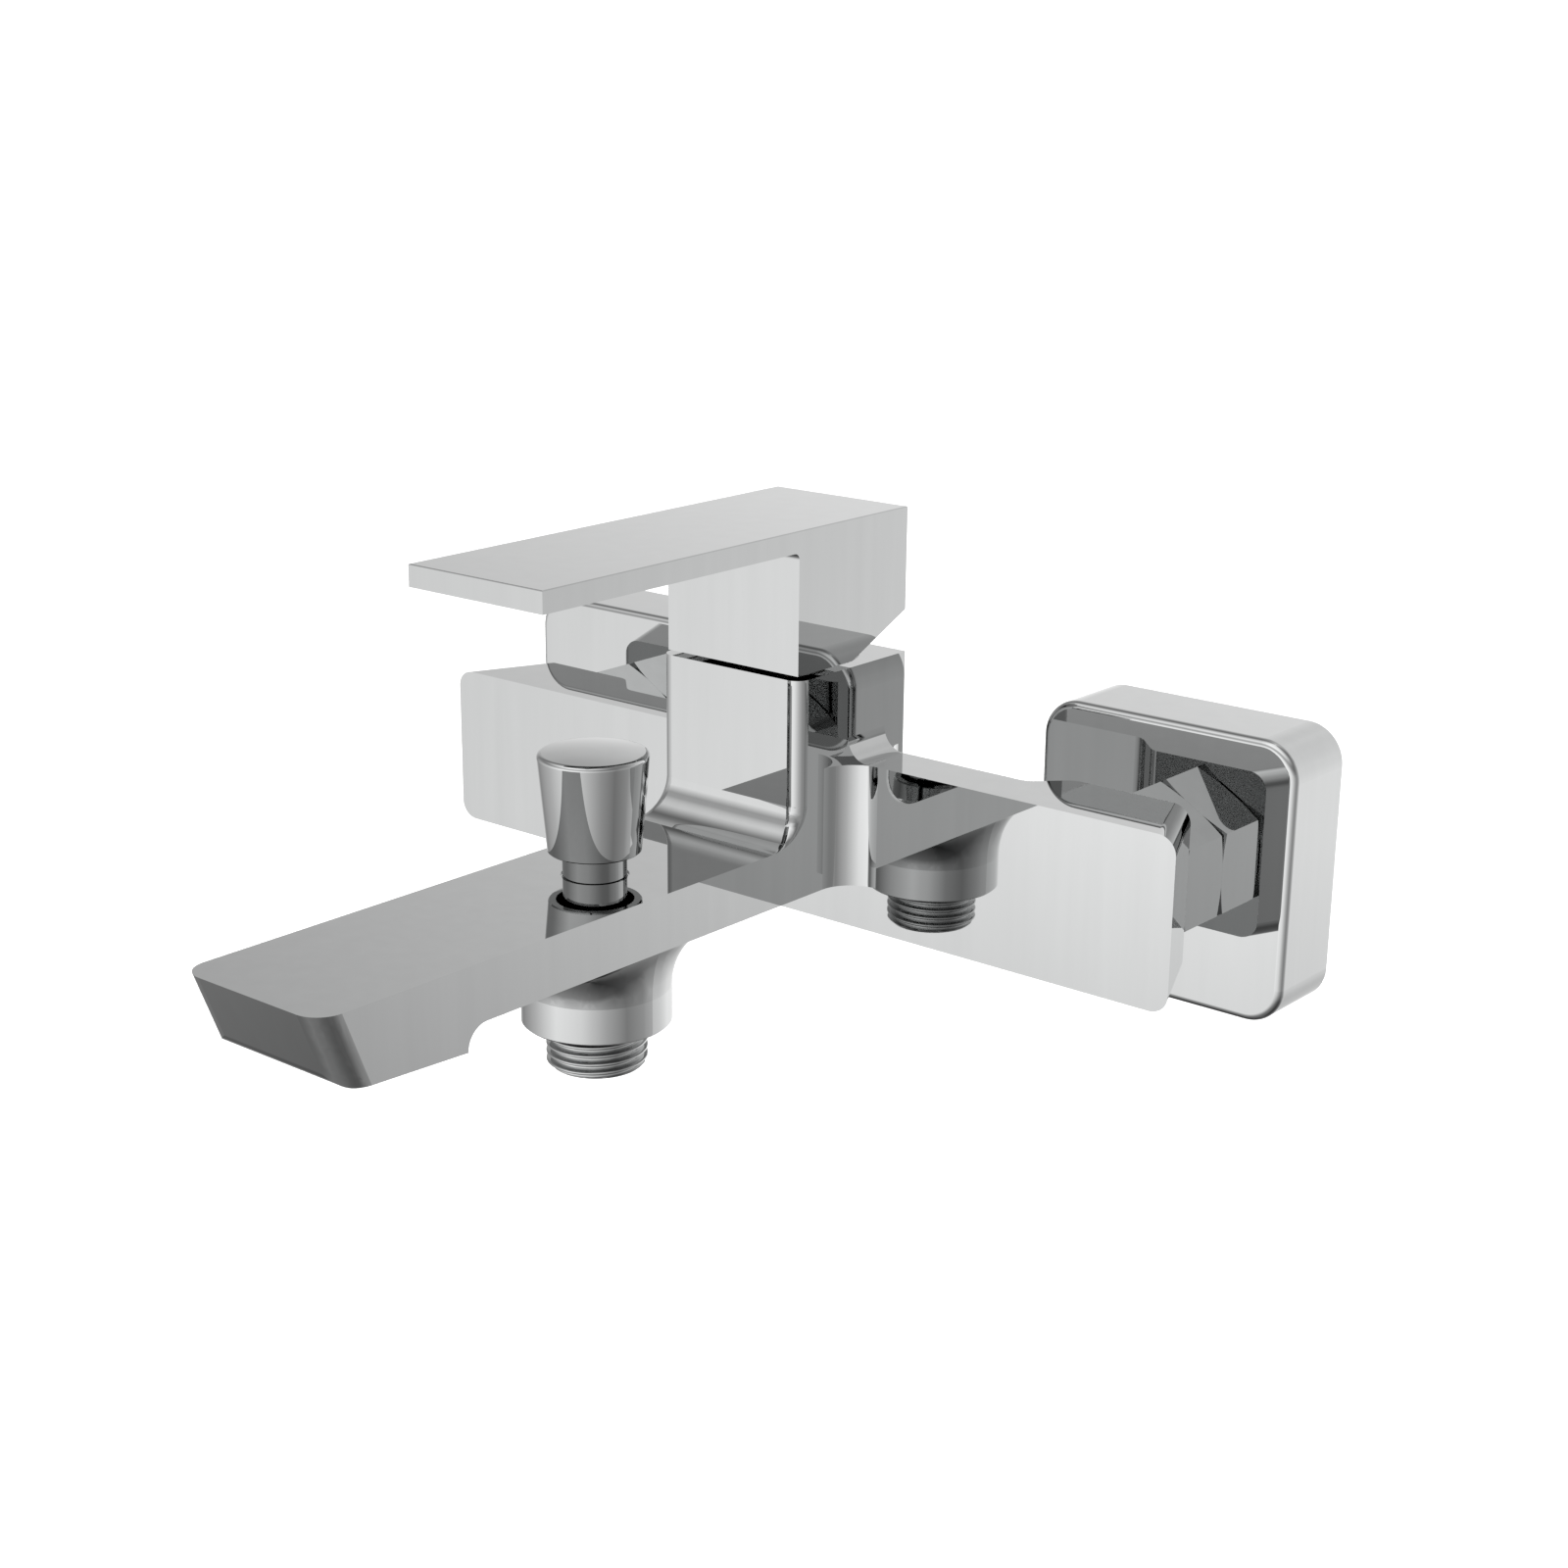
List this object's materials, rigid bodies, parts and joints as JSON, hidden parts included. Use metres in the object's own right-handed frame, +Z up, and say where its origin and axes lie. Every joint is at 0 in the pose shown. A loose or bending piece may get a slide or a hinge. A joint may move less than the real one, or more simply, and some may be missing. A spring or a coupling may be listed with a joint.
{
  "type": "wall mounted bath faucet",
  "caption": "Chrome wall mounted bath faucet with a lever handle, flat spout, pull-up diverter and threaded hose outlet",
  "frame": {"origin": "on the wall plane, midway between the two inlet axes and at their height", "axes": "+Z up, +X right along the bar as the user faces the wall, the user stands at -Y"},
  "size_m": [0.2102, 0.2158, 0.1065],
  "materials": {
    "chrome_body": "mirror polished chrome plate",
    "chrome_handle": "mirror polished chrome plate",
    "chrome_knob": "mirror polished chrome plate",
    "chrome_nut": "polished chrome plate",
    "chrome_escutcheon": "mirror polished chrome plate",
    "chrome_thread": "chrome plated thread",
    "chrome_trim": "polished chrome plate",
    "brass": "machined brass",
    "steel": "stainless steel",
    "cartridge_plastic": "moulded engineering plastic",
    "aerator_plastic": "moulded plastic",
    "ceramic": "lapped alumina ceramic",
    "seal_rubber": "moulded rubber"
  },
  "bodies": {
    "base": {"body_casting": "chrome_body", "cartridge_cover_ring": "chrome_trim", "hose_outlet_nipple": "chrome_thread", "cartridge_nut": "brass", "cartridge_housing": "cartridge_plastic", "cartridge_base": "cartridge_plastic", "cartridge_port_seals": "seal_rubber", "fixed_ceramic_disc": "ceramic", "diverter_rod_seal": "seal_rubber", "diverter_guide": "brass", "diverter_spring": "steel", "aerator_housing": "chrome_trim", "aerator_insert": "aerator_plastic", "aerator_gasket": "seal_rubber", "inlet_tail_left": "brass", "union_nut_left": "chrome_nut", "filter_washer_left": "seal_rubber", "wall_union_left": "chrome_thread", "escutcheon_left": "chrome_escutcheon", "escutcheon_oring_left": "seal_rubber", "inlet_tail_right": "brass", "union_nut_right": "chrome_nut", "filter_washer_right": "seal_rubber", "wall_union_right": "chrome_thread", "escutcheon_right": "chrome_escutcheon", "escutcheon_oring_right": "seal_rubber"},
    "turn": {"stem_guide": "cartridge_plastic", "stem_pivot_pin": "steel"},
    "lift": {"handle": "chrome_handle", "lever_stem": "brass", "handle_grub_screw": "steel", "handle_screw_plug": "chrome_trim"},
    "disc": {"moving_ceramic_disc": "ceramic", "disc_carrier": "cartridge_plastic"},
    "diverter": {"diverter_knob": "chrome_knob", "diverter_rod": "chrome_trim", "diverter_valve_disc": "brass", "diverter_valve_seal": "seal_rubber", "spring_retainer": "steel"}
  },
  "joints": [
    {"name": "handle_turn", "type": "hinge", "parent": "base", "child": "turn", "pos_m": [0, -0.052, 0.0365], "axis": [0, 0, 1], "range_deg": [-45, 45]},
    {"name": "handle_lift", "type": "hinge", "parent": "turn", "child": "lift", "pos_m": [0, -0.052, 0.0365], "axis": [-1, 0, 0], "range_deg": [0, 21]},
    {"name": "disc_slide", "type": "slide", "parent": "turn", "child": "disc", "axis": [0, -1, 0], "range_m": [0, 0.00514]},
    {"name": "diverter_lift", "type": "slide", "parent": "base", "child": "diverter", "axis": [0, 0, 1], "range_m": [0, 0.006], "stiffness_N_per_m": 200, "springref_m": -0.002, "deforming": ["diverter_spring"]}
  ],
  "couplings": [
    {"joint": "disc_slide", "follows": "handle_lift", "m_per_rad": 0.014}
  ]
}
